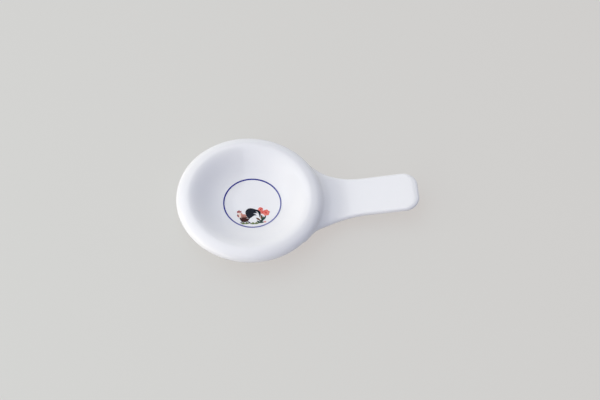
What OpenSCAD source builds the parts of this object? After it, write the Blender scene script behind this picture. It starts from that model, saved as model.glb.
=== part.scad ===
// Porcelain chopstick rest with a round spoon well and a handle-like bar for the chopsticks.
// The dish is centred on the Z axis, the bar runs along +X, and the foot stands on Z = 0.
// All lengths are in millimetres.

/* [Dish] */
// Radius of the dish at the widest line of its lip
dish_r = 32.5; // [28:0.5:38]
// Height of the lip's crest above the table
crest_h = 14; // [12:0.5:18]
// Width of the lip's outward roll, from the crest to the widest line
lip_roll_w = 5; // [3:0.5:6]
// Height of the lip's outward roll, from the crest down to the widest line
lip_roll_h = 3; // [2:0.25:4]
// Depth of the spoon well below the crest
well_depth = 6.8; // [4:0.2:8]

/* [Foot] */
// Outer radius of the foot ring
foot_r = 18.5; // [14:0.5:20]
// Width of the ground face of the foot ring
foot_w = 3.2; // [2:0.1:4]
// Height of the foot ring on its outer side
foot_h = 1.8; // [1.2:0.1:2.6]
// Depth of the recess inside the foot ring
recess_h = 2.2; // [1:0.1:3]
// Bevel at both edges of the ground face
foot_bevel = 0.4; // [0.2:0.1:0.6]

/* [Handle] */
// Distance from the dish's centre to the handle's tip
tip_x = 76; // [66:0.5:90]
// Width of the handle at its waist
waist_w = 19.2; // [14:0.2:22]
// Width of the handle near its tip
tip_w = 19.4; // [14:0.2:24]
// Radius of the side flares that run from the dish into the handle
flare_r = 38; // [20:1:50]
// Radius of the tip's corners seen from above
corner_r = 6.6; // [3:0.2:8]
// Length over which the tip rounds down
tip_round = 3; // [2:0.2:5]
// Thickness of the handle
handle_t = 4.6; // [4:0.2:6.4]
// Width of the handle's rounded upper edge
edge_w = 1.1; // [0.8:0.1:3]
// Height of the handle's rounded upper edge, from its widest line to its top
edge_h = 0.9; // [0.7:0.1:2]
// Width over which the handle's underside curves in from the widest line
under_w = 6; // [3:0.5:7]
// Distance from the dish's centre to the saddle, where the handle's top is lowest
saddle_x = 42.5; // [40:0.5:50]
// Depth of the saddle below the crest
saddle_drop = 6.2; // [4:0.1:7]
// The part of that depth in which the lip falls away right behind its crest
shoulder_drop = 3; // [1.5:0.1:3.5]
// Length over which the lip falls away
shoulder_w = 9.5; // [8:0.5:14]
// Depth of the handle's top at its tip, below the crest
tip_drop = 2.7; // [1:0.1:3.5]
// Length over which the even rise from the saddle to the tip sets in
rise_w = 5; // [4:0.5:14]

/* [Glaze] */
// Thickness of the glaze
glaze_t = 0.25; // [0.15:0.05:0.4]
// Height of the bare band left round the foot
bare_h = 0.8; // [0.5:0.1:1.1]

/* [Painting] */
// Radius of the blue ring line, to the middle of the line
ring_r = 12.7; // [9:0.1:15]
// Width of the blue ring line
ring_w = 0.55; // [0.4:0.05:1.2]
// Shift of the painting from the dish's centre towards the handle
paint_shift = 1.4; // [0:0.1:3]
// Thickness of the fired enamels
enamel_t = 0.12; // [0.08:0.02:0.2]

/* [Hidden] */
$fn = 96;

// Seats between the layers, the gap between two printed colours, and one overrun for the cuts
glaze_seat = 0.01;
enamel_seat = 0.01;
print_gap = 0.06;
overrun = 1;

// Depth to which the handle's root lies inside the dish's lip, and how far its end is buried and drawn in
root_sink = 0.3;
root_bury = 1.2;

// The crest circle and the widest line of the lip
crest_r = dish_r - lip_roll_w;
widest_h = crest_h - lip_roll_h;

// The flare is an arc that touches the dish's circle, just inside the lip, and the handle's straight side
root_r = dish_r - root_sink;
flare_end_x = sqrt(pow(root_r + flare_r, 2) - pow(waist_w / 2 + flare_r, 2));
flare_start_x = root_r * flare_end_x / (root_r + flare_r);

// Width of the lip's roll in the cross section where the flare starts
lip_cut_w = sqrt(pow(dish_r, 2) - pow(flare_start_x, 2)) - sqrt(pow(crest_r, 2) - pow(flare_start_x, 2));

// The even rise of the handle's top, as a share of its length
rise_share = (saddle_drop - tip_drop) / (tip_x - saddle_x - rise_w / 2);

// The well wall: a cosine of the radius to this power is steep near the crest and flat in the middle
well_power_share = 2.25;

// The belly is a cubic from the widest line to the foot, with its two handles as shares of its spans
belly_side_share = 0.3;
belly_out_share = 0.6;
belly_low_share = 0.37;

// The painting, as brush strokes in shares of the ring's radius from its centre, X right and Y away.
// Each stroke is its start, bend and end, its width, and its fullness: under 1 the start is the fuller end.
tail_strokes_shares = [
    [[-0.18, -0.60], [-0.27, -0.17], [0.11, -0.26], 0.184, 0.85],
    [[-0.18, -0.61], [-0.18, -0.13], [0.19, -0.35], 0.165, 0.9],
    [[-0.17, -0.62], [-0.13, -0.24], [0.16, -0.41], 0.15, 0.8],
    [[-0.17, -0.62], [-0.07, -0.40], [0.11, -0.49], 0.116, 0.75],
    [[0.06, -0.25], [0.29, -0.33], [0.20, -0.59], 0.078, 0.95]
];
breast_strokes_shares = [
    [[-0.49, -0.55], [-0.37, -0.76], [-0.14, -0.61], 0.165, 1]
];
hackle_strokes_shares = [
    [[-0.43, -0.34], [-0.37, -0.43], [-0.43, -0.59], 0.063, 1],
    [[-0.43, -0.52], [-0.33, -0.43], [-0.21, -0.51], 0.1, 0.9],
    [[-0.41, -0.58], [-0.32, -0.52], [-0.20, -0.59], 0.1, 0.9]
];
neck_strokes_shares = [
    [[-0.54, -0.37], [-0.46, -0.33], [-0.45, -0.46], 0.068, 1],
    [[-0.47, -0.38], [-0.51, -0.47], [-0.44, -0.59], 0.07, 1]
];
comb_strokes_shares = [
    [[-0.53, -0.36], [-0.55, -0.31], [-0.53, -0.27], 0.048, 0.9],
    [[-0.50, -0.34], [-0.50, -0.28], [-0.47, -0.24], 0.052, 0.9],
    [[-0.46, -0.34], [-0.43, -0.30], [-0.41, -0.28], 0.045, 0.9],
    [[-0.54, -0.35], [-0.49, -0.29], [-0.41, -0.34], 0.042, 1],
    [[-0.54, -0.40], [-0.56, -0.47], [-0.51, -0.54], 0.05, 1]
];
legs_strokes_shares = [
    [[-0.29, -0.67], [-0.24, -0.70], [-0.17, -0.76], 0.039, 0.9],
    [[-0.21, -0.76], [-0.17, -0.77], [-0.11, -0.82], 0.037, 1],
    [[-0.40, -0.67], [-0.41, -0.72], [-0.44, -0.76], 0.032, 0.9],
    [[-0.49, -0.77], [-0.44, -0.75], [-0.41, -0.77], 0.024, 1]
];
stems_strokes_shares = [
    [[0.30, -0.49], [0.27, -0.57], [0.26, -0.67], 0.07, 1],
    [[0.08, -0.60], [0.15, -0.65], [0.23, -0.72], 0.065, 1],
    [[0.26, -0.30], [0.24, -0.42], [0.25, -0.57], 0.025, 1]
];
leaves_strokes_shares = [
    [[0.34, -0.55], [0.32, -0.68], [0.22, -0.83], 0.08, 0.9],
    [[0.43, -0.51], [0.40, -0.65], [0.28, -0.73], 0.06, 1],
    [[0.15, -0.79], [0.25, -0.82], [0.36, -0.80], 0.055, 1],
    [[0.18, -0.70], [0.24, -0.75], [0.27, -0.81], 0.055, 1],
    [[0.10, -0.71], [0.15, -0.80], [0.25, -0.83], 0.065, 1]
];
fallen_strokes_shares = [
    [[0.33, -0.81], [0.38, -0.78], [0.43, -0.82], 0.035, 1]
];

// Each bloom is its centre, the reach of its petals, how many there are, and the turn of the first
blooms_shares = [
    [[0.45, -0.41], 0.135, 6, 10],
    [[0.27, -0.26], 0.095, 5, 30],
    [[0.32, -0.39], 0.065, 5, 0]
];
// A petal's inner end and the heart's radius as shares of the bloom's reach, the petal's fullness, and
// the share of the turn that the petals fill where they are widest
petal_start_share = 0.12;
heart_share = 0.3;
petal_fullness_share = 1.5;
petal_fill_share = 1.25;

// Each tuft of grass is its root and the length of its blades
tufts_shares = [
    [[-0.32, -0.84], 0.17],
    [[0.02, -0.86], 0.17]
];
blades = 5;
blade_width_share = 0.26;
blade_lift_share = 0.5;

// Steps of the profiles and of the loft
well_steps = 36;
roll_steps = 10;
belly_steps = 16;
flare_steps = 18;
bar_steps = 10;
tip_steps = 8;
section_steps = 18;
stroke_steps = 10;

// Share of the rounded upper edge over which its height no longer falls with the distance from the axis
edge_level_share = 0.5;

// The loft's last section stops just short of the tip, as a share of the tip's quarter turn
tip_stop_share = 0.94;

// Height of the well's surface at radius r
function well_z(r) = crest_h - well_depth * (1 + cos(180 * pow(min(r / crest_r, 1), well_power_share))) / 2;

function cubic(a, b, c, d, t) =
    a * pow(1 - t, 3) + 3 * b * t * pow(1 - t, 2) + 3 * c * t * t * (1 - t) + d * pow(t, 3);

function quadratic(a, b, c, t) = a * pow(1 - t, 2) + 2 * b * t * (1 - t) + c * t * t;

// A smooth step from 0 to 1 as x goes from a to b
function ease(a, b, x) = let (t = max(0, min(1, (x - a) / (b - a)))) t * t * (3 - 2 * t);

// A line of points moved to its left by d; the points on the axis stay on it
function moved_line(p, d) = [for (i = [0 : len(p) - 1])
    let (
        a = p[max(i - 1, 0)],
        b = p[min(i + 1, len(p) - 1)],
        along = (b - a) / norm(b - a),
        q = p[i] + d * [-along[1], along[0]]
    ) [p[i][0] == 0 ? 0 : q[0], q[1]]];

function well_line() = [for (i = [0 : well_steps]) let (r = crest_r * i / well_steps) [r, well_z(r)]];

function roll_line() = [for (i = [1 : roll_steps])
    let (turn = 90 * i / roll_steps)
    [crest_r + lip_roll_w * sin(turn), widest_h + lip_roll_h * cos(turn)]];

function belly_line() =
    let (
        a = [dish_r, widest_h],
        d = [foot_r, foot_h],
        b = a - [0, (widest_h - foot_h) * belly_side_share],
        c = d + [(dish_r - foot_r) * belly_out_share, (widest_h - foot_h) * belly_low_share]
    ) [for (i = [1 : belly_steps]) cubic(a, b, c, d, i / belly_steps)];

// The ground foot, the same height for every skin, drawn in by the skin's inset
function foot_line(inset) = [
    [foot_r - inset, foot_bevel],
    [foot_r - inset - foot_bevel, 0],
    [foot_r - foot_w + inset + foot_bevel, 0],
    [foot_r - foot_w + inset, foot_bevel],
    [foot_r - foot_w + inset, recess_h + inset],
    [0, recess_h + inset]
];

// Half section of the dish, drawn in by the inset
module dish_section(inset) {
    skin = concat(well_line(), roll_line(), belly_line());
    polygon(concat(moved_line(skin, -inset), foot_line(inset)));
}

// Half width of the handle at x
function half_width(x, inset) =
    let (
        arc = x < flare_end_x ? flare_r - sqrt(pow(flare_r, 2) - pow(flare_end_x - x, 2)) : 0,
        grown = ease(flare_end_x, tip_x - corner_r, x) * (tip_w - waist_w) / 2,
        turn = max(0, (x - (tip_x - corner_r)) / (corner_r - inset))
    ) waist_w / 2 + arc + grown - inset - (corner_r - inset) * (1 - sqrt(max(0, 1 - turn * turn)));

// Climb of the handle's top beyond the saddle: it sets in softly and is even from there
function risen(past) = past < rise_w ? pow(max(past, 0), 2) / (2 * rise_w) : past - rise_w / 2;

// Height of the handle's top, as a function of the distance from the dish's axis;
// inside the crest it follows the well, just under its surface
function top_z(r) =
    r < crest_r ? well_z(r) - root_sink :
    crest_h - shoulder_drop * ease(crest_r, crest_r + shoulder_w, r)
        - (saddle_drop - shoulder_drop) * ease(crest_r, saddle_x, r)
        + rise_share * risen(r - saddle_x)
        - root_sink * (1 - ease(crest_r, saddle_x, r));

// A measure of the cross section that changes from the lip's own, at the root, to the bar's
function towards_bar(lips, bars, x) = let (k = ease(flare_start_x, saddle_x, x)) lips * (1 - k) + bars * k;

// One cross section of the handle: the top from +Y to -Y, then the underside back
function handle_loop(x, inset) =
    let (
        w = half_width(x, inset),
        widths = [towards_bar(lip_cut_w, edge_w, x), towards_bar(lip_cut_w, under_w, x)],
        heights = [towards_bar(lip_roll_h, edge_h, x), towards_bar(lip_roll_h, handle_t - edge_h, x)],
        level_y = max(0, w - edge_level_share * widths[0]),
        e = max(0, (x - (tip_x - tip_round)) / (tip_round - inset)),
        kept = sqrt(max(0, 1 - e * e))
    ) [for (half = [0, 1], i = [0 : section_steps - 1])
        let (
            side = half == 0 ? 1 : -1,
            y = w * cos(180 * i / section_steps) * side,
            roll = min(widths[half], w),
            q = max(0, (abs(y) - w + roll) / roll),
            widest_z = top_z(norm([x, min(abs(y), level_y)])) - heights[0]
        ) [x, y, widest_z + side * (heights[half] - inset) * kept * sqrt(max(0, 1 - q * q))]];

// Stations of the loft: close in the flare, even along the bar, and gathered where the tip rounds down
function stations(inset) =
    let (
        a = flare_start_x,
        b = saddle_x,
        c = tip_x - corner_r,
        d = tip_x - inset
    ) concat(
        [for (i = [0 : flare_steps - 1]) a + (b - a) * i / flare_steps],
        [for (i = [0 : bar_steps - 1]) b + (c - b) * i / bar_steps],
        [for (i = [0 : tip_steps]) c + (d - c) * sin(90 * tip_stop_share * i / tip_steps)]
    );

// A closed skin over loops that all have the same number of points
module loft(loops) {
    n = len(loops[0]);
    m = len(loops);
    sides = [for (k = [0 : m - 2], i = [0 : n - 1])
        each [
            [k * n + i, (k + 1) * n + i, k * n + (i + 1) % n],
            [k * n + (i + 1) % n, (k + 1) * n + i, (k + 1) * n + (i + 1) % n]
        ]];
    first = [for (i = [0 : n - 1]) i];
    last = [for (i = [n - 1 : -1 : 0]) (m - 1) * n + i];
    polyhedron([for (l = loops) each l], concat(sides, [first, last]), convexity = 4);
}

// The whole rest as one form, drawn in by the inset
module ware(inset) {
    rotate_extrude() dish_section(inset);
    buried = handle_loop(flare_start_x - root_bury, inset + root_bury);
    loft(concat([buried], [for (x = stations(inset)) handle_loop(x, inset)]));
}

// The fired porcelain under the glaze, with its ground foot
module body() {
    color("linen") ware(glaze_t + glaze_seat);
}

// The glaze covers all but the foot's ground face and the bare band round it
module glaze() {
    color("ghostwhite")
    difference() {
        ware(0);
        ware(glaze_t);
        translate([0, 0, -overrun])
        linear_extrude(height = bare_h + overrun)
        difference() {
            circle(r = foot_r + overrun);
            circle(r = foot_r - foot_w - overrun);
        }
    }
}

// A thin layer that lies on the well's glaze, cut to the outline that it is given
module enamel() {
    reach = min(ring_r + ring_w + paint_shift + overrun, crest_r);
    line = [for (p = well_line()) if (p[0] <= reach) p];
    intersection() {
        translate([paint_shift, 0, 0])
        linear_extrude(height = crest_h)
        children();
        rotate_extrude()
        polygon(concat(moved_line(line, enamel_seat), reversed(moved_line(line, enamel_seat + enamel_t))));
    }
}

function reversed(v) = [for (i = [len(v) - 1 : -1 : 0]) v[i]];

// The blue line round the painting
module ring_line() {
    color("midnightblue")
    enamel()
    difference() {
        circle(r = ring_r + ring_w / 2);
        circle(r = ring_r - ring_w / 2);
    }
}

// One brush stroke along a bend: thin at both ends, fullest where the fullness says
function stroke(a, bend, b, w, fullness) =
    let (
        line = [for (i = [0 : stroke_steps]) quadratic(a, bend, b, i / stroke_steps)],
        half = [for (i = [0 : stroke_steps]) w / 2 * sin(180 * pow(i / stroke_steps, fullness))],
        left = [for (i = [0 : stroke_steps]) moved_line(line, half[i])[i]],
        right = [for (i = [1 : stroke_steps - 1]) moved_line(line, -half[i])[i]]
    ) concat(left, reversed(right));

// Strokes from a table of shares of the ring's radius, each made wider by the growth on both sides
module strokes(shares, growth) {
    for (s = shares)
        polygon(stroke(s[0] * ring_r, s[1] * ring_r, s[2] * ring_r, s[3] * ring_r + 2 * growth, s[4]));
}

// The petals of every bloom, turned round its centre
module petals(growth) {
    for (bloom = blooms_shares) {
        reach = bloom[1] * ring_r;
        widest_x = reach * pow(1 / 2, 1 / petal_fullness_share);
        w = 2 * PI * widest_x / bloom[2] * petal_fill_share;
        translate(bloom[0] * ring_r)
        for (i = [0 : bloom[2] - 1])
            rotate(bloom[3] + 360 * i / bloom[2])
            polygon(stroke(
                [reach * petal_start_share, 0], [reach / 2, 0], [reach, 0],
                w + 2 * growth, petal_fullness_share
            ));
    }
}

// All that is printed in pink: the petals on the blooms and the fallen one
module pinks(growth) {
    petals(growth);
    strokes(fallen_strokes_shares, growth);
}

// The round heart of every bloom
module hearts(growth) {
    for (bloom = blooms_shares)
        translate(bloom[0] * ring_r)
        circle(r = bloom[1] * ring_r * heart_share + growth);
}

// Every tuft's blades, fanned from its root
module tufts(growth) {
    for (tuft = tufts_shares) {
        long = tuft[1] * ring_r;
        translate(tuft[0] * ring_r)
        for (i = [0 : blades - 1]) {
            turn = 180 * (i + 1 / 2) / blades;
            tip = [long * cos(turn), long * sin(turn) * blade_lift_share];
            polygon(stroke([0, 0], [tip[0] / 2, tip[1]], tip, long * blade_width_share + 2 * growth, 1));
        }
    }
}

module rooster_tail() {
    color("#12141c") enamel() strokes(tail_strokes_shares, 0);
}

module rooster_breast() {
    color("#3a1c1a")
    enamel()
    difference() {
        strokes(breast_strokes_shares, 0);
        strokes(tail_strokes_shares, print_gap);
        strokes(hackle_strokes_shares, print_gap);
    }
}

module rooster_hackle() {
    color("#b4543a")
    enamel()
    difference() {
        strokes(hackle_strokes_shares, 0);
        strokes(tail_strokes_shares, print_gap);
    }
}

module rooster_neck() {
    color("#e8d4b0")
    enamel()
    difference() {
        strokes(neck_strokes_shares, 0);
        strokes(comb_strokes_shares, print_gap);
        strokes(hackle_strokes_shares, print_gap);
        strokes(breast_strokes_shares, print_gap);
    }
}

module rooster_comb() {
    color("#a02c30") enamel() strokes(comb_strokes_shares, 0);
}

module rooster_legs() {
    color("#4a4040")
    enamel()
    difference() {
        strokes(legs_strokes_shares, 0);
        strokes(breast_strokes_shares, print_gap);
        strokes(tail_strokes_shares, print_gap);
        tufts(print_gap);
    }
}

module peony_petals() {
    color("#e05560")
    enamel()
    difference() {
        pinks(0);
        hearts(print_gap);
        strokes(tail_strokes_shares, print_gap);
    }
}

module peony_hearts() {
    color("#f6b498") enamel() hearts(0);
}

module peony_stems() {
    color("#7a4c30")
    enamel()
    difference() {
        strokes(stems_strokes_shares, 0);
        pinks(print_gap);
        strokes(tail_strokes_shares, print_gap);
    }
}

module peony_leaves() {
    color("#24403c")
    enamel()
    difference() {
        strokes(leaves_strokes_shares, 0);
        strokes(stems_strokes_shares, print_gap);
        pinks(print_gap);
        tufts(print_gap);
    }
}

module grass_tufts() {
    color("#5f7040") enamel() tufts(0);
}

body();
glaze();
ring_line();
rooster_tail();
rooster_breast();
rooster_hackle();
rooster_neck();
rooster_comb();
rooster_legs();
peony_petals();
peony_hearts();
peony_stems();
peony_leaves();
grass_tufts();
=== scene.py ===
"""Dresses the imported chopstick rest: a smooth glazed form, fired enamels, a pale floor and soft light."""

import math

import bpy
import numpy as np
from mathutils import Matrix, Vector


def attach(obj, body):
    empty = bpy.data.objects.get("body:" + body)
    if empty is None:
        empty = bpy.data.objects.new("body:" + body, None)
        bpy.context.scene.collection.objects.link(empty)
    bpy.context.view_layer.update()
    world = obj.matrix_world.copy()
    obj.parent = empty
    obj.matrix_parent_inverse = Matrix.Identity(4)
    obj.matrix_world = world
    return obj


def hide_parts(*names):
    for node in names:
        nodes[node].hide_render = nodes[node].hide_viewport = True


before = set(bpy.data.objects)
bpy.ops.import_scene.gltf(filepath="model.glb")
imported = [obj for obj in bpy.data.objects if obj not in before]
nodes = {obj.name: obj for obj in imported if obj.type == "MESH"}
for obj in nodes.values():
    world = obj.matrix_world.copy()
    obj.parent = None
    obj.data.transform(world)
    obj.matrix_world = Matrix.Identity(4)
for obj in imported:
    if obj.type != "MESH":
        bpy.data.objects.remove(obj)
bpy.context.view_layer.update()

MM = 0.001

# The form in millimetres, with the same values as the part's source
DISH_R, CREST_H, LIP_W, LIP_H = 32.5, 14.0, 5.0, 3.0
WELL_DEPTH, WELL_POWER = 6.8, 2.25
BELLY_SIDE_SHARE, BELLY_OUT_SHARE, BELLY_LOW_SHARE = 0.3, 0.6, 0.37
FOOT_R, FOOT_W, FOOT_H, FOOT_BEVEL, RECESS_H, BARE_H = 18.5, 3.2, 1.8, 0.4, 2.2, 0.8
TIP_X, TIP_W, TIP_ROUND, CORNER_R, WAIST_W, FLARE_R = 76.0, 19.4, 3.0, 6.6, 19.2, 38.0
HANDLE_T, EDGE_W, EDGE_H, EDGE_LEVEL_SHARE, UNDER_W = 4.6, 1.1, 0.9, 0.5, 6.0
SHOULDER_DROP, SHOULDER_W, SADDLE_DROP, SADDLE_X = 3.0, 9.5, 6.2, 42.5
TIP_DROP, RISE_W, ROOT_SINK = 2.7, 5.0, 0.3

CREST_R, WIDEST_H, ROOT_R = DISH_R - LIP_W, CREST_H - LIP_H, DISH_R - ROOT_SINK
FOOT_INNER_R, FOOT_MID_R = FOOT_R - FOOT_W, FOOT_R - FOOT_W / 2
FLARE_END_X = math.sqrt((ROOT_R + FLARE_R) ** 2 - (WAIST_W / 2 + FLARE_R) ** 2)
FLARE_START_X = ROOT_R * FLARE_END_X / (ROOT_R + FLARE_R)
LIP_CUT_W = math.sqrt(DISH_R ** 2 - FLARE_START_X ** 2) - math.sqrt(CREST_R ** 2 - FLARE_START_X ** 2)
RISE_SHARE = (SADDLE_DROP - TIP_DROP) / (TIP_X - SADDLE_X - RISE_W / 2)

# The handle's hidden end inside the dish: where it stops, how far its outline runs on, and its fall inward
HANDLE_CUT_X, HANDLE_LEAD, INNER_SINK_SLOPE = 23.0, 40.0, 0.35

# The blends of the handle into the dish over the root and under it: their sizes, the radii over which the
# first sets in, the length over which the second does, and the heights between which they change over
BLEND_TOP, BLEND_UNDER = 1.4, 3.2
BLEND_TOP_START_R, BLEND_TOP_END_R, BLEND_UNDER_L = CREST_R - 0.5, CREST_R + 3.5, 12.0
BLEND_LOW_H, BLEND_HIGH_H = 6.5, 9.0

# The foot's fillets, and the bead where the glaze ends above the bare foot: the distances of its rows across
# and down from the skin's level edge
FOOT_FILLET, RECESS_FILLET = 0.7, 0.8
GLAZE_BEAD = ((0.02, 0.05), (0.07, 0.10), (0.14, 0.12), (0.30, 0.10))

# The points along the well, a quarter turn and the belly, a fillet's steps, and the points along the flare
# and the handle's side
WELL_POINTS, TURN_POINTS, BELLY_POINTS, FILLET_STEPS, FLARE_POINTS, SIDE_POINTS = 110, 24, 40, 8, 60, 50

# The reach and step of the distance tables, radius and height for the dish and X and Y for the handle, and
# how far before a table's last row its reading stops
DISH_LOW, DISH_HIGH, DISH_STEP = (0, -2), (38, 17), 0.1
PLAN_LOW, PLAN_HIGH, PLAN_STEP = (-10, -0.2), (80, 40), 0.2
ROW_SPARE = 0.001

# The skin's grid and smoothing, the room round the foot that isn't smoothed, and the cut at the bare band
CELL, GRID_MARGIN, CELLS_UNDER_BAND = 0.45, 1.7, 2.5
SMOOTH_ROUNDS, SMOOTH_SHARE, SETTLE_ROUNDS = 3, 0.6, 2
FOOT_ROOM_H, FOOT_ROOM_R = 0.8, 1.5
BAND_ROOM, BAND_LEVEL = 0.2, 0.3 * CELL

# The least steepness and the least squared slope that a distance is divided by, and what keeps a division
# from meeting zero
LEAST_STEEPNESS, LEAST_SLOPE, SMALL, TINY = 0.2, 0.05, 1e-6, 1e-9


def ease(a, b, x):
    t = np.clip((x - a) / (b - a), 0, 1)
    return t * t * (3 - 2 * t)


def well_z(r):
    return CREST_H - WELL_DEPTH * (1 + np.cos(np.pi * np.minimum(r / CREST_R, 1) ** WELL_POWER)) / 2


def fillet(a, corner, b, reach):
    """A round of points in place of a corner, from reach before it to reach after it."""
    a, corner, b = map(np.array, (a, corner, b))
    p = corner + (a - corner) / np.linalg.norm(a - corner) * reach
    q = corner + (b - corner) / np.linalg.norm(b - corner) * reach
    t = np.linspace(0, 1, FILLET_STEPS + 1)[:, None]
    return p * (1 - t) ** 2 + corner * 2 * t * (1 - t) + q * t * t


def dish_section():
    """The dish's half section, from the well's middle over the lip to the foot and the recess's middle."""
    r = np.linspace(0, CREST_R, WELL_POINTS)
    well = np.c_[r, well_z(r)]
    turn = np.linspace(0, np.pi / 2, TURN_POINTS)[1:]
    roll = np.c_[CREST_R + LIP_W * np.sin(turn), WIDEST_H + LIP_H * np.cos(turn)]
    a, d = np.array([DISH_R, WIDEST_H]), np.array([FOOT_R, FOOT_H])
    b = a - [0, (WIDEST_H - FOOT_H) * BELLY_SIDE_SHARE]
    c = d + [(DISH_R - FOOT_R) * BELLY_OUT_SHARE, (WIDEST_H - FOOT_H) * BELLY_LOW_SHARE]
    t = np.linspace(0, 1, BELLY_POINTS)[1:, None]
    belly = a * (1 - t) ** 3 + 3 * b * t * (1 - t) ** 2 + 3 * c * t * t * (1 - t) + d * t ** 3
    belly = belly[np.linalg.norm(belly - d, axis=1) > FOOT_FILLET]
    under = fillet(belly[-1], d, [FOOT_R, 0], FOOT_FILLET)
    foot = [
        [FOOT_R, FOOT_BEVEL], [FOOT_R - FOOT_BEVEL, 0],
        [FOOT_INNER_R + FOOT_BEVEL, 0], [FOOT_INNER_R, FOOT_BEVEL],
    ]
    recess = fillet([FOOT_INNER_R, 0], [FOOT_INNER_R, RECESS_H], [0, RECESS_H], RECESS_FILLET)
    return np.vstack([well, roll, belly, under, foot, recess, [[0, RECESS_H]]])


def handle_outline():
    """The handle's outline seen from above on its +Y side, from inside the dish to the middle of the tip."""
    x = np.linspace(FLARE_START_X, FLARE_END_X, FLARE_POINTS)
    flare = np.c_[x, WAIST_W / 2 + FLARE_R - np.sqrt(FLARE_R ** 2 - (FLARE_END_X - x) ** 2)]
    x = np.linspace(FLARE_END_X, TIP_X - CORNER_R, SIDE_POINTS)[1:]
    side = np.c_[x, WAIST_W / 2 + ease(FLARE_END_X, TIP_X - CORNER_R, x) * (TIP_W - WAIST_W) / 2]
    turn = np.linspace(0, np.pi / 2, TURN_POINTS)[1:]
    tip = np.c_[
        TIP_X - CORNER_R + CORNER_R * np.sin(turn),
        TIP_W / 2 - CORNER_R + CORNER_R * np.cos(turn),
    ]
    lead = flare[0] + (flare[0] - flare[1]) / np.linalg.norm(flare[0] - flare[1]) * HANDLE_LEAD
    return np.vstack([[[lead[0], 0]], [lead], flare, side, tip, [[TIP_X, 0]]])


class Table:
    """Signed distance to an outline, negative inside, sampled once and then read by interpolation.

    The outline starts and ends on the axis of its form, and the line that closes it there has no distance.
    """

    def __init__(self, outline, low, high, step):
        self.low, self.step = low, step
        self.counts = [int(round((top - start) / step)) + 1 for start, top in zip(low, high)]
        axes = [start + step * np.arange(n) for start, n in zip(low, self.counts)]
        u, v = np.meshgrid(*axes, indexing="ij")
        away = np.full(u.shape, np.inf)
        inside = np.zeros(u.shape, bool)
        for k, ((au, av), (bu, bv)) in enumerate(zip(outline, np.roll(outline, -1, axis=0))):
            if k < len(outline) - 1:
                du, dv = bu - au, bv - av
                t = np.clip(((u - au) * du + (v - av) * dv) / (du * du + dv * dv), 0, 1)
                away = np.minimum(away, (u - au - t * du) ** 2 + (v - av - t * dv) ** 2)
            if av != bv:
                crosses = (av > v) != (bv > v)
                inside ^= crosses & (u < (bu - au) * (v - av) / (bv - av) + au)
        self.values = np.where(inside, -1, 1) * np.sqrt(away)

    def __call__(self, u, v):
        i, s = self.cell(u, 0)
        j, t = self.cell(v, 1)
        g = self.values
        return ((g[i, j] * (1 - s) + g[i + 1, j] * s) * (1 - t)
                + (g[i, j + 1] * (1 - s) + g[i + 1, j + 1] * s) * t)

    def cell(self, value, axis):
        """The table's row below a value, and the share of the way to the next row."""
        at = np.clip((value - self.low[axis]) / self.step, 0, self.counts[axis] - 1 - ROW_SPARE)
        row = at.astype(int)
        return row, at - row


outline = handle_outline()
dish_table = Table(dish_section(), DISH_LOW, DISH_HIGH, DISH_STEP)
plan_table = Table(outline, PLAN_LOW, PLAN_HIGH, PLAN_STEP)


def handle_top(r):
    """Height of the handle's top at a distance from the dish's axis."""
    inner = well_z(r) - ROOT_SINK - (CREST_R - r) * INNER_SINK_SLOPE
    past = np.maximum(r - SADDLE_X, 0)
    risen = np.where(past < RISE_W, past ** 2 / (2 * RISE_W), past - RISE_W / 2)
    outer = (CREST_H - SHOULDER_DROP * ease(CREST_R, CREST_R + SHOULDER_W, r)
             - (SADDLE_DROP - SHOULDER_DROP) * ease(CREST_R, SADDLE_X, r)
             + RISE_SHARE * risen
             - ROOT_SINK * (1 - ease(CREST_R, SADDLE_X, r)))
    return np.where(r < CREST_R, inner, outer)


def towards_bar(lips, bars, x):
    """A measure of the handle's cross section that changes from the lip's own, at the root, to the bar's."""
    k = ease(FLARE_START_X, SADDLE_X, x)
    return lips * (1 - k) + bars * k


def handle_distance(x, y, z):
    """Distance to the handle, whose top and underside each roll to its outline as a quarter ellipse."""
    edge, under = towards_bar(LIP_CUT_W, EDGE_W, x), towards_bar(LIP_CUT_W, UNDER_W, x)
    high, low = towards_bar(LIP_H, EDGE_H, x), towards_bar(LIP_H, HANDLE_T - EDGE_H, x)
    level_y = np.interp(x, outline[:, 0], outline[:, 1]) - EDGE_LEVEL_SHARE * edge
    up = z - (handle_top(np.hypot(x, np.minimum(np.abs(y), level_y))) - high)
    roll, half = np.where(up > 0, edge, under), np.where(up > 0, high, low)
    past = np.maximum(x - TIP_X + CORNER_R, 0)
    aside = np.maximum(np.abs(y) - TIP_W / 2 + CORNER_R, 0)
    roll = roll + (TIP_ROUND - roll) * past ** 2 / (past ** 2 + aside ** 2 + TINY)
    q, w = np.maximum(0, 1 + plan_table(x, np.abs(y)) / roll), up / half
    gauge = np.sqrt(q * q + w * w) + TINY
    steepness = np.sqrt((w / half) ** 2 + (q / roll) ** 2) / gauge + SMALL
    return np.maximum((gauge - 1) / np.maximum(steepness, LEAST_STEEPNESS), HANDLE_CUT_X - x)


def ware(p):
    """Signed distance of points to the whole glazed form, the handle blended into the dish."""
    x, y, z = p[..., 0], p[..., 1], p[..., 2]
    r = np.hypot(x, y)
    dish, handle = dish_table(r, z), handle_distance(x, y, z)
    above = ease(BLEND_LOW_H, BLEND_HIGH_H, z)
    below = (1 - above) * ease(HANDLE_CUT_X, HANDLE_CUT_X + BLEND_UNDER_L, x)
    blend = BLEND_TOP * ease(BLEND_TOP_START_R, BLEND_TOP_END_R, r) * above + BLEND_UNDER * below + SMALL
    h = np.maximum(blend - np.abs(dish - handle), 0) / blend
    return np.minimum(dish, handle) - h * h * blend / 4


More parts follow.
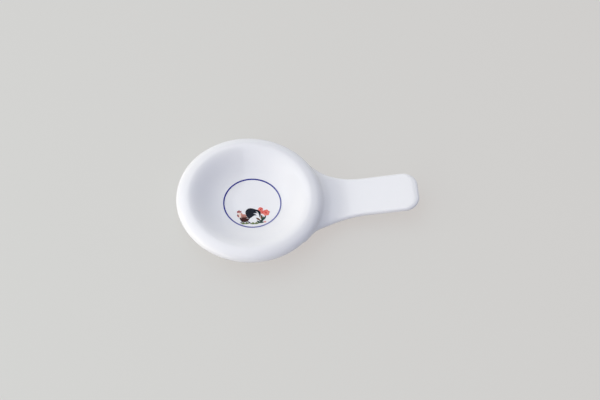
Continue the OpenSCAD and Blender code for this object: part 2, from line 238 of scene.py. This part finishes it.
def slope(p, step=0.02):
    g = np.empty_like(p)
    for i in range(3):
        d = np.zeros(3)
        d[i] = step
        g[..., i] = (ware(p + d) - ware(p - d)) / (2 * step)
    return g


def settle(p):
    """Moves points onto the form along its slope."""
    for _ in range(SETTLE_ROUNDS):
        g = slope(p)
        p = p - g * (ware(p) / np.maximum((g * g).sum(-1), LEAST_SLOPE))[..., None]
    return p


def surface_net(low, high):
    """The form's surface on a grid: a vertex in each cell and a quad round each edge that it crosses."""
    counts = tuple(math.ceil((top - start) / CELL) + 1 for start, top in zip(low, high))
    axes = [start + CELL * np.arange(n) for start, n in zip(low, counts)]
    y, z = np.meshgrid(axes[1], axes[2], indexing="ij")
    values = np.stack([ware(np.stack([np.full_like(y, x), y, z], -1)) for x in axes[0]])
    inside = values < 0
    cells = tuple(n - 1 for n in counts)
    total, hits = np.zeros(cells + (3,)), np.zeros(cells)
    corner = np.stack(np.meshgrid(*[np.arange(n) for n in counts], indexing="ij"), -1)
    quads = []
    for axis in range(3):
        shift = np.eye(3, dtype=int)[axis]
        near = tuple(slice(0, counts[k] - shift[k]) for k in range(3))
        far = tuple(slice(shift[k], counts[k]) for k in range(3))
        crossed = inside[near] != inside[far]
        at = corner[near][crossed]
        first, last = values[near][crossed], values[far][crossed]
        point = low + CELL * (at + (first / (first - last))[:, None] * shift)
        u, v = [k for k in range(3) if k != axis]
        ring = []
        for du, dv in ((-1, -1), (0, -1), (0, 0), (-1, 0)):
            beside = at.copy()
            beside[:, u] += du
            beside[:, v] += dv
            np.add.at(total, tuple(beside.T), point)
            np.add.at(hits, tuple(beside.T), 1)
            ring.append(beside)
        # Across Y the ring runs the other way round
        outward = inside[near][crossed] == (axis != 1)
        quads.append((ring, outward))
    used = hits > 0
    index = np.full(cells, -1)
    index[used] = np.arange(used.sum())
    faces = []
    for ring, outward in quads:
        quad = np.stack([index[tuple(beside.T)] for beside in ring], 1)
        faces.append(np.where(outward[:, None], quad, quad[:, ::-1]))
    return total[used] / hits[used][:, None], np.vstack(faces)


def neighbour_mean(verts, faces):
    total, count = np.zeros_like(verts), np.zeros(len(verts))
    for k in range(4):
        a, b = faces[:, k], faces[:, (k + 1) % 4]
        np.add.at(total, a, verts[b])
        np.add.at(count, a, 1)
        np.add.at(total, b, verts[a])
        np.add.at(count, b, 1)
    return total / count[:, None]


def turn_in(verts, faces):
    """Turns the skin's open edges in to the bare foot, as the small round bead where a glaze ends."""
    edges = np.vstack([faces[:, [k, (k + 1) % 4]] for k in range(4)])
    code = np.sort(edges, axis=1) @ [len(verts), 1]
    _, first, count = np.unique(code, return_index=True, return_counts=True)
    open_edges = edges[first[count == 1]]
    rim, place = np.unique(open_edges, return_inverse=True)
    u, v = place.reshape(open_edges.shape).T
    at = verts[rim]
    r = np.hypot(at[:, 0], at[:, 1])
    inward = np.where(r > FOOT_MID_R, -1, 1)
    rows, quads, upper = [verts], [faces], rim
    for k, (across, down) in enumerate(GLAZE_BEAD):
        row = at.copy()
        row[:, :2] *= (1 + inward * across / r)[:, None]
        row[:, 2] -= down
        rows.append(row)
        lower = len(verts) + k * len(rim) + np.arange(len(rim))
        quads.append(np.stack([upper[v], upper[u], lower[u], lower[v]], 1))
        upper = lower
    return np.vstack(rows), np.vstack(quads)


def glazed_skin():
    """The glazed form's vertices and quads, smoothed, and ending level over the bare foot."""
    low = np.array([-DISH_R - GRID_MARGIN, -DISH_R - GRID_MARGIN, BARE_H - CELLS_UNDER_BAND * CELL])
    high = (TIP_X + GRID_MARGIN, DISH_R + GRID_MARGIN, CREST_H + GRID_MARGIN)
    verts, faces = surface_net(low, high)
    for _ in range(SMOOTH_ROUNDS):
        r = np.hypot(verts[:, 0], verts[:, 1])
        beside = (r > FOOT_R + FOOT_ROOM_R) | (r < FOOT_INNER_R - FOOT_ROOM_R)
        free = beside | (verts[:, 2] > FOOT_H + FOOT_ROOM_H)
        moved = verts + SMOOTH_SHARE * (neighbour_mean(verts, faces) - verts)
        verts = np.where(free[:, None], settle(moved), verts)
    verts = settle(verts)
    r = np.hypot(verts[:, 0], verts[:, 1])
    band = (r > FOOT_INNER_R - BAND_ROOM) & (r < FOOT_R + BAND_ROOM)
    level = band & (np.abs(verts[:, 2] - BARE_H) < BAND_LEVEL)
    below = band & (verts[:, 2] < BARE_H - BAND_LEVEL)
    verts[level, 2] = BARE_H
    wall = np.where(r[level] > FOOT_MID_R, FOOT_R, FOOT_INNER_R)
    verts[level, :2] *= (wall / r[level])[:, None]
    return turn_in(verts, faces[~below[faces].any(axis=1)])


def mesh_object(name, verts, faces):
    used, numbers = np.unique(faces, return_inverse=True)
    mesh = bpy.data.meshes.new(name)
    mesh.from_pydata((verts[used] * MM).tolist(), [], numbers.reshape(faces.shape).tolist())
    mesh.validate()
    obj = bpy.data.objects.new(name, mesh)
    bpy.context.scene.collection.objects.link(obj)
    mesh.polygons.foreach_set("use_smooth", [True] * len(mesh.polygons))
    return obj


def srgb(*rgb):
    """The linear colour of one written as on a screen, from 0 to 255."""
    shares = [c / 255 for c in rgb]
    return tuple(c / 12.92 if c <= 0.04045 else ((c + 0.055) / 1.055) ** 2.4 for c in shares)


def grey(value):
    return (value,) * 3


CERAMIC_IOR = 1.5


class Nodes:
    """The node tree of a material or a world, with short calls to add to it."""

    def __init__(self, owner, output="OutputMaterial"):
        owner.use_nodes = True
        self.owner, self.tree = owner, owner.node_tree
        self.tree.nodes.clear()
        self.output = self.add(output)

    def feed(self, socket, value):
        if isinstance(value, bpy.types.NodeSocket):
            self.tree.links.new(value, socket)
        elif socket.type == "RGBA":
            socket.default_value = (*value, 1)
        else:
            socket.default_value = value

    def add(self, kind, inputs=None, **settings):
        node = self.tree.nodes.new("ShaderNode" + kind)
        for key, value in settings.items():
            setattr(node, key, value)
        for key, value in (inputs or {}).items():
            self.feed(node.inputs[key], value)
        return node

    def place(self):
        return self.add("TexCoord").outputs["Object"]

    def noise(self, scale, detail, rough, w=0.0):
        inputs = {"Vector": self.place(), "Scale": scale, "Detail": detail, "Roughness": rough, "W": w}
        return self.add("TexNoise", inputs, noise_dimensions="4D").outputs["Fac"]

    def ramp(self, fac, stops):
        node = self.add("ValToRGB", {"Fac": fac})
        for element, (at, colour) in zip(node.color_ramp.elements, stops):
            element.position = at
            element.color = (*colour, 1)
        return node.outputs["Color"]

    def span(self, value, start, end, first=0.0, last=1.0, **settings):
        """A value between two ends turned into a share that runs from first to last."""
        inputs = {"Value": value, "From Min": start, "From Max": end, "To Min": first, "To Max": last}
        return self.add("MapRange", inputs, **settings).outputs["Result"]

    def calculate(self, a, b, operation):
        return self.add("Math", {0: a, 1: b}, operation=operation).outputs["Value"]

    def mix(self, factor, a, b, blend="MIX"):
        node = self.add("Mix", data_type="RGBA", blend_type=blend)
        colours = [socket for socket in node.inputs if socket.type == "RGBA"]
        share = [socket for socket in node.inputs if socket.name == "Factor" and socket.type == "VALUE"][0]
        for socket, value in zip([share] + colours, (factor, a, b)):
            self.feed(socket, value)
        return [socket for socket in node.outputs if socket.type == "RGBA"][0]

    def bump(self, height, strength, distance, normal=None):
        inputs = {"Height": height, "Strength": strength, "Distance": distance}
        if normal:
            inputs["Normal"] = normal
        return self.add("Bump", inputs).outputs["Normal"]

    def ceramic(self, colour, rough, normal, specular=0.5):
        shader = self.add("BsdfPrincipled", {
            "Base Color": colour, "Roughness": rough, "Normal": normal,
            "IOR": CERAMIC_IOR, "Specular IOR Level": specular,
        })
        return self.finish(shader.outputs["BSDF"])

    def finish(self, shader):
        self.tree.links.new(shader, self.output.inputs["Surface"])
        return self.owner


def paint(obj, material):
    obj.data.materials.clear()
    obj.data.materials.append(material)


# The glaze's colours: clouded, clear, a paler white over the handle that is painted light, making it look
# more brightly lit, pooled over the foot and thinnest at its edge, with the most that each of the last three
# covers
GLAZE_CLOUDED, GLAZE_CLEAR = (0.807, 0.819, 0.860), (0.842, 0.849, 0.877)
GLAZE_PAINTED_LIGHT, GLAZE_POOLED, GLAZE_EDGE = (0.874, 0.882, 0.906), (0.70, 0.78, 0.84), (0.62, 0.50, 0.38)
PAINTED_LIGHT_SHARE, POOL_SHARE, EDGE_SHARE = 0.6, 0.8, 0.7

# Where along the handle the painted light starts and where it is full, the height up to which the glaze
# pools over the foot, and the drop over which its edge thins
PAINTED_LIGHT_START_X, PAINTED_LIGHT_END_X, POOL_H, EDGE_DROP = CREST_R, DISH_R + LIP_W, 3.4, 0.10


def glaze_material():
    """A clear glaze over white, with faint clouds, a faint ripple and a fine peel that breaks its shine."""
    m = Nodes(bpy.data.materials.new("white_glaze"))
    cloud = m.noise(scale=38, detail=4, rough=0.55)
    colour = m.ramp(cloud, [(0.30, GLAZE_CLOUDED), (0.70, GLAZE_CLEAR)])
    where = m.add("SeparateXYZ", {"Vector": m.place()})
    smooth = {"interpolation_type": "SMOOTHSTEP"}
    # Painted light: the handle is painted a paler white so that it looks more brightly lit than the dish
    painted_light = m.span(where.outputs["X"], PAINTED_LIGHT_START_X * MM, PAINTED_LIGHT_END_X * MM, 0.0, PAINTED_LIGHT_SHARE, **smooth)
    colour = m.mix(painted_light, colour, GLAZE_PAINTED_LIGHT)
    pooled = m.span(where.outputs["Z"], BARE_H * MM, POOL_H * MM, POOL_SHARE, 0.0, **smooth)
    colour = m.mix(pooled, colour, GLAZE_POOLED)
    edge = m.span(where.outputs["Z"], (BARE_H - EDGE_DROP) * MM, BARE_H * MM, EDGE_SHARE, 0.0)
    colour = m.mix(edge, colour, GLAZE_EDGE)
    peel = m.noise(scale=900, detail=2, rough=0.5, w=2.0)
    wave = m.noise(scale=60, detail=2, rough=0.5, w=5.0)
    rippled = m.bump(wave, strength=0.06, distance=0.0006)
    peeled = m.bump(peel, strength=0.03, distance=0.00005, normal=rippled)
    dust = m.noise(scale=240, detail=5, rough=0.6, w=9.0)
    rough = m.ramp(dust, [(0.35, grey(0.06)), (0.75, grey(0.12))])
    return m.ceramic(colour, rough, peeled)


BISQUE_DARK, BISQUE_PALE, BISQUE_IRON = (0.66, 0.60, 0.52), (0.76, 0.71, 0.63), (0.42, 0.33, 0.26)


def bisque_material():
    """Fired porcelain without glaze: fine matt grain with a few specks of iron."""
    m = Nodes(bpy.data.materials.new("porcelain_bisque"))
    grain = m.noise(scale=1500, detail=4, rough=0.6)
    colour = m.ramp(grain, [(0.3, BISQUE_DARK), (0.7, BISQUE_PALE)])
    iron = m.noise(scale=420, detail=2, rough=0.5, w=3.0)
    specks = m.ramp(iron, [(0.26, BISQUE_IRON), (0.31, grey(1.0))])
    colour = m.mix(1.0, colour, specks, "MULTIPLY")
    rough = m.ramp(grain, [(0.3, grey(0.75)), (0.7, grey(0.9))])
    return m.ceramic(colour, rough, m.bump(grain, strength=0.35, distance=0.0001))


# The enamels' specular level, lower than the glaze's, because they are fired on softer and duller
ENAMEL_SHEEN = 0.12

# Each enamel's pooled and thin colour, the place of its noise, how much it thins, and where it fades:
# the direction, the distances along it where that starts and ends, and the colour there
ENAMELS = {
    "ring_line": ((4, 8, 116), (20, 28, 152), 1.0, 0.5, ((-0.6, 0.8, 0), 5.0, -13.0, (110, 114, 172))),
    "rooster_tail": ((12, 16, 22), (28, 34, 50), 2.0, 0.5, None),
    "rooster_breast": ((40, 16, 20), (78, 38, 36), 3.0, 0.5, None),
    "rooster_hackle": ((186, 112, 96), (218, 168, 156), 4.0, 0.6, ((0, 1, 0), -6.0, -7.4, (76, 34, 32))),
    "rooster_neck": ((234, 200, 182), (244, 224, 212), 5.0, 0.6, None),
    "rooster_comb": ((116, 20, 36), (164, 52, 62), 6.0, 0.6, None),
    "rooster_legs": ((38, 34, 52), (80, 72, 92), 7.0, 0.6, None),
    "peony_petals": ((212, 58, 66), (240, 138, 126), 8.0, 1.0, None),
    "peony_hearts": ((196, 44, 50), (224, 92, 84), 9.0, 0.5, None),
    "peony_stems": ((80, 50, 24), (122, 84, 52), 10.0, 0.6, None),
    "peony_leaves": ((18, 42, 40), (50, 84, 76), 11.0, 0.6, None),
    "grass_tufts": ((78, 98, 48), (128, 142, 94), 12.0, 0.7, None),
}


def enamel_material(name, deep, thin, seed, wash, fade):
    """A fired enamel: pigment that pools and thins under the brush, and may thin steadily to one side."""
    m = Nodes(bpy.data.materials.new(name))
    streak = m.noise(scale=900, detail=4, rough=0.65, w=seed)
    pool = m.noise(scale=260, detail=3, rough=0.55, w=seed + 4)
    colour = m.ramp(streak, [(0.35, srgb(*deep)), (0.75 - 0.2 * wash, srgb(*thin))])
    washed = m.ramp(pool, [(0.4, grey(0.0)), (0.7, grey(0.5 * wash))])
    colour = m.mix(washed, colour, srgb(*thin))
    if fade:
        way, start, end, faded = fade
        along = m.add("VectorMath", {0: m.place(), 1: way}, operation="DOT_PRODUCT").outputs["Value"]
        colour = m.mix(m.span(along, start * MM, end * MM), colour, srgb(*faded))
    rough = m.ramp(pool, [(0.3, grey(0.22)), (0.7, grey(0.36))])
    return m.ceramic(colour, rough, m.bump(streak, strength=0.3, distance=0.00006), ENAMEL_SHEEN)


# The camera's height, turn and roll in degrees, the photograph's width in pixels and a pixel's width on the
# object, the lens with its clipping in metres, and the point at the picture's middle: a height on the dish's
# axis, and from there its way to the right and up
CAMERA_EL, CAMERA_YAW, CAMERA_ROLL = 56.96, 9.14, 4.36
PHOTO_W, PIXEL_MM = 600, 0.4449
LENS, SENSOR, CLIP_START, CLIP_END = 120.0, 36.0, 0.05, 20.0
AIM_H, AIM_RIGHT, AIM_UP = 10.0, 22.49, 1.95


def make_camera():
    """The photograph's camera, a long lens far enough back to give a pixel its width on the object."""
    el, yaw, roll = map(math.radians, (CAMERA_EL, CAMERA_YAW, CAMERA_ROLL))
    right = Vector((math.cos(yaw), -math.sin(yaw), 0))
    up = Vector((math.sin(el) * math.sin(yaw), math.sin(el) * math.cos(yaw), math.cos(el)))
    back = Vector((-math.cos(el) * math.sin(yaw), -math.cos(el) * math.cos(yaw), math.sin(el)))
    distance = PIXEL_MM * MM * LENS / SENSOR * PHOTO_W
    place = Vector((0, 0, AIM_H * MM)) + back * distance + right * AIM_RIGHT * MM + up * AIM_UP * MM
    rolled_right = right * math.cos(roll) + up * math.sin(roll)
    rolled_up = up * math.cos(roll) - right * math.sin(roll)
    camera = bpy.data.objects.new("camera", bpy.data.cameras.new("camera"))
    bpy.context.scene.collection.objects.link(camera)
    camera.data.lens, camera.data.sensor_width = LENS, SENSOR
    camera.data.clip_start, camera.data.clip_end = CLIP_START, CLIP_END
    turn = Matrix((rolled_right, rolled_up, back)).transposed()
    camera.matrix_world = Matrix.Translation(place) @ turn.to_4x4()
    bpy.context.scene.camera = camera


# The surround's colours in front and behind, and where along Y it starts to turn from one to the other
WORLD_FRONT, WORLD_BACK, WORLD_TURN_Y = (0.19, 0.20, 0.29), (0.92, 0.91, 0.84), -0.2

# Each lamp's place, the point it faces and its size, in metres, and its radiance and colour
BANKS = {
    "left_bank": ((-0.62, -0.24, 0.27), (0, 0, 0.01), (1.3, 0.52), 2.0, (1.03, 0.97, 0.80)),
    "top_bank": ((-0.36, 0.0, 0.80), (-0.36, 0.0, 0.0), (0.88, 1.4), 1.10, (0.97, 1.0, 1.04)),
}


def area_light(name, place, aim, size, radiance, colour):
    data = bpy.data.lights.new(name, "AREA")
    data.shape = "RECTANGLE"
    data.size, data.size_y = size
    data.energy = radiance * math.pi * size[0] * size[1]
    data.color = colour
    light = bpy.data.objects.new(name, data)
    bpy.context.scene.collection.objects.link(light)
    light.location = place
    light.rotation_mode = "QUATERNION"
    light.rotation_quaternion = (Vector(aim) - Vector(place)).to_track_quat("-Z", "Y")
    light.visible_camera = False


def make_studio():
    """A dim surround that is brighter behind, a wide low bank at the left, and a bank overhead."""
    world = bpy.data.worlds.new("studio")
    bpy.context.scene.world = world
    w = Nodes(world, "OutputWorld")
    way = w.add("SeparateXYZ", {"Vector": w.add("TexCoord").outputs["Generated"]})
    behind = w.span(way.outputs["Y"], WORLD_TURN_Y, 1.0)
    colour = w.ramp(behind, [(0.0, WORLD_FRONT), (1.0, WORLD_BACK)])
    w.finish(w.add("Background", {"Color": colour}).outputs["Background"])
    for name, bank in BANKS.items():
        area_light(name, *bank)


# What the floor sends back to the object; what the camera sees of it, a tint that shades and a flat share;
# and half the floor's width in metres
FLOOR_BOUNCE, FLOOR_TINT = srgb(221, 220, 218), (0.50, 0.70, 0.735)
FLOOR_FLAT, FLOOR_FLAT_SHARE = (0.702, 0.646, 0.615), 0.78
FLOOR_HALF = 3.0


def make_floor():
    """A pale plain floor. What the camera sees is partly its own flat colour, so its shadows stay faint."""
    corners = [(x * FLOOR_HALF, y * FLOOR_HALF, 0) for x, y in ((-1, -1), (1, -1), (1, 1), (-1, 1))]
    mesh = bpy.data.meshes.new("floor")
    mesh.from_pydata(corners, [], [(0, 1, 2, 3)])
    floor = bpy.data.objects.new("floor", mesh)
    bpy.context.scene.collection.objects.link(floor)
    m = Nodes(bpy.data.materials.new("pale_floor"))
    path = m.add("LightPath")
    seen = m.calculate(path.outputs["Is Camera Ray"], path.outputs["Is Glossy Ray"], "MAXIMUM")
    seen = m.calculate(seen, path.outputs["Is Transmission Ray"], "MAXIMUM")
    grain = m.ramp(m.noise(scale=14, detail=3, rough=0.5), [(0.3, grey(0.995)), (0.7, grey(1.0))])
    colour = m.mix(1.0, m.mix(seen, FLOOR_BOUNCE, FLOOR_TINT), grain, "MULTIPLY")
    lit = m.add("BsdfPrincipled", {"Base Color": colour, "Roughness": 0.9, "Specular IOR Level": 0.1})
    flat = m.add("Emission", {"Color": FLOOR_FLAT, "Strength": 1.0})
    share = m.calculate(seen, FLOOR_FLAT_SHARE, "MULTIPLY")
    both = m.add("MixShader", {"Fac": share, 1: lit.outputs["BSDF"], 2: flat.outputs["Emission"]})
    paint(floor, m.finish(both.outputs["Shader"]))


make_camera()
make_studio()
make_floor()

skin = mesh_object("glazed_skin", *glazed_skin())
paint(skin, glaze_material())
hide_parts("glaze")
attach(skin, "root")

paint(nodes["body"], bisque_material())
for name, recipe in ENAMELS.items():
    paint(nodes[name], enamel_material("enamel_" + name, *recipe))

bpy.context.scene.view_settings.view_transform = "Standard"
